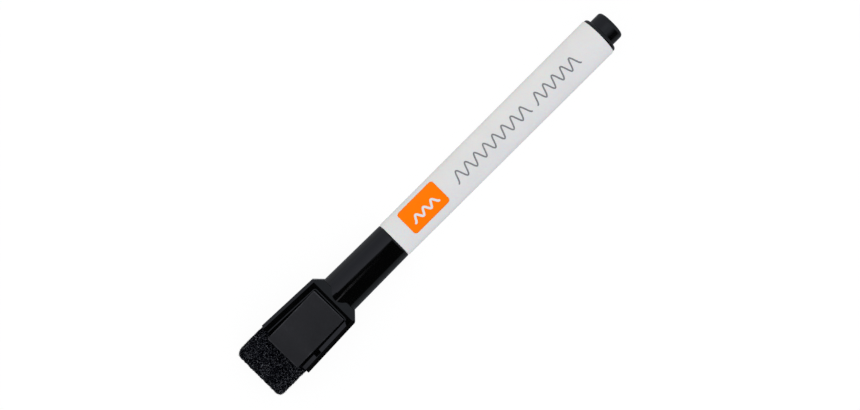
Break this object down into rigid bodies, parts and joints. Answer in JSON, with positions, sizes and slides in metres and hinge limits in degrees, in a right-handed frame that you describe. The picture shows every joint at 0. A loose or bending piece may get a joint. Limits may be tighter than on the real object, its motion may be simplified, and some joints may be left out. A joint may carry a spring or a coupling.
{
  "type": "whiteboard marker",
  "caption": "Slim dry-wipe marker: white tapered barrel, black end plug, pull-off black cap with a round sleeve, a flat holder with a felt eraser and a magnet on its face.",
  "frame": {"origin": "under the middle of the marker, cap on, on the plane of the holder's flat back", "axes": "+X along the pen from the eraser to the tail plug, +Z out of the magnet face, +Y across the holder"},
  "size_m": [0.131, 0.0174, 0.0119],
  "materials": {
    "barrel_white": "satin white polypropylene",
    "nozzle_black": "fine matt black polypropylene",
    "nib_fibre": "ink-soaked pressed fibre",
    "reservoir_fibre": "ink-soaked fibre bundle",
    "clear_film": "thin wrapped film",
    "plug_black": "polished black polypropylene",
    "cap_black": "polished black polypropylene",
    "seal_natural": "natural soft polyethylene",
    "eraser_felt": "dense black needle felt",
    "adhesive": "hot-melt adhesive",
    "ferrite": "matt plastic-bonded ferrite",
    "adhesive_tape": "double-sided tape",
    "print_orange": "screen-printed orange ink",
    "print_white": "screen-printed white ink",
    "print_grey": "screen-printed grey ink"
  },
  "bodies": {
    "pen": {"barrel": "barrel_white", "nozzle": "nozzle_black", "nib": "nib_fibre", "ink_reservoir": "reservoir_fibre", "reservoir_film": "clear_film", "end_plug": "plug_black"},
    "cap_seal": {"inner_cap": "seal_natural"},
    "cap": {"cap_body": "cap_black", "eraser_felt": "eraser_felt", "felt_adhesive": "adhesive", "magnet": "ferrite", "magnet_tape": "adhesive_tape"}
  },
  "joints": [
    {"name": "cap_pull", "type": "slide", "parent": "pen", "child": "cap_seal", "axis": [-1, 0, 0], "range_m": [0, 0.03]},
    {"name": "cap_turn", "type": "hinge", "parent": "cap_seal", "child": "cap", "pos_m": [-0.0255, 0, 0.00575], "axis": [1, 0, 0], "continuous": true}
  ]
}
